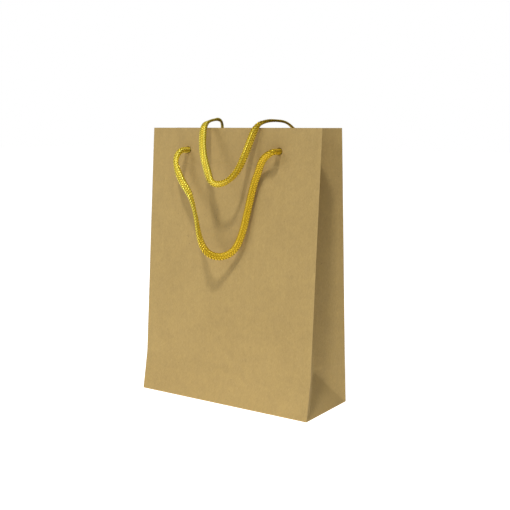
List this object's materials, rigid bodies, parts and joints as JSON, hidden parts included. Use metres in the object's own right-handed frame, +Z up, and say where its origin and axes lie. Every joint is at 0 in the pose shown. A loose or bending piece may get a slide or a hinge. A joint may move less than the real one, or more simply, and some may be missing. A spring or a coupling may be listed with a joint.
{
  "type": "gift bag",
  "caption": "Small upright kraft paper gift bag with folded side gussets, a stiffened base and mouth, and two braided cord handles knotted inside the walls.",
  "frame": {"origin": "middle of the rectangular base, on the surface the bag stands on", "axes": "+Z up to the mouth, -Y out of the front wall where the handles hang, X along the width"},
  "size_m": [0.155, 0.0698, 0.2189],
  "materials": {
    "kraft_paper": "uncoated brown kraft, fine fibres",
    "greyboard": "uncoated board",
    "gold_cord": "shiny golden yellow braid"
  },
  "bodies": {
    "bag": {"back_base_strip": "kraft_paper", "base_board": "greyboard", "base_flap_back": "kraft_paper", "base_flap_front": "kraft_paper", "base_flap_left": "kraft_paper", "base_flap_right": "kraft_paper", "front_base_strip": "kraft_paper", "front_cord_bend_left": "gold_cord", "front_cord_bend_right": "gold_cord", "front_hem": "kraft_paper", "front_hem_card": "greyboard", "front_knot_left": "gold_cord", "front_knot_right": "gold_cord", "front_panel": "kraft_paper", "left_corner_front": "kraft_paper", "left_corner_rear": "kraft_paper", "left_gusset_base": "kraft_paper", "left_gusset_front": "kraft_paper", "left_gusset_front_hem": "kraft_paper", "left_gusset_rear": "kraft_paper", "left_gusset_rear_hem": "kraft_paper", "rear_bridge_left": "gold_cord", "rear_bridge_right": "gold_cord", "right_corner_front": "kraft_paper", "right_corner_rear": "kraft_paper", "right_gusset_base": "kraft_paper", "right_gusset_front": "kraft_paper", "right_gusset_front_hem": "kraft_paper", "right_gusset_rear": "kraft_paper", "right_gusset_rear_hem": "kraft_paper"},
    "back_wall": {"back_panel": "kraft_paper", "back_hem": "kraft_paper", "back_hem_card": "greyboard", "seam_tab": "kraft_paper", "rear_knot_left": "gold_cord", "rear_knot_right": "gold_cord", "rear_riser_left": "gold_cord", "rear_riser_right": "gold_cord"},
    "front_handle": {"front_handle": "gold_cord"},
    "rear_handle": {"rear_handle": "gold_cord"}
  },
  "joints": [
    {"name": "mouth", "type": "hinge", "parent": "bag", "child": "back_wall", "pos_m": [0, 0.0283, 0.03], "axis": [1, 0, 0], "range_deg": [-7, 3], "deforming": ["left_gusset_front", "left_gusset_front_hem", "left_gusset_rear", "left_gusset_rear_hem", "right_gusset_front", "right_gusset_front_hem", "right_gusset_rear", "right_gusset_rear_hem", "rear_bridge_left", "rear_bridge_right"]},
    {"name": "front_handle_swing", "type": "hinge", "parent": "bag", "child": "front_handle", "pos_m": [0, -0.0215, 0.1905], "axis": [-1, 0, 0], "range_deg": [0, 165], "deforming": ["front_cord_bend_left", "front_cord_bend_right"]},
    {"name": "rear_handle_swing", "type": "hinge", "parent": "bag", "child": "rear_handle", "pos_m": [0, -0.016, 0.2105], "axis": [-1, 0, 0], "range_deg": [0, 165]}
  ]
}
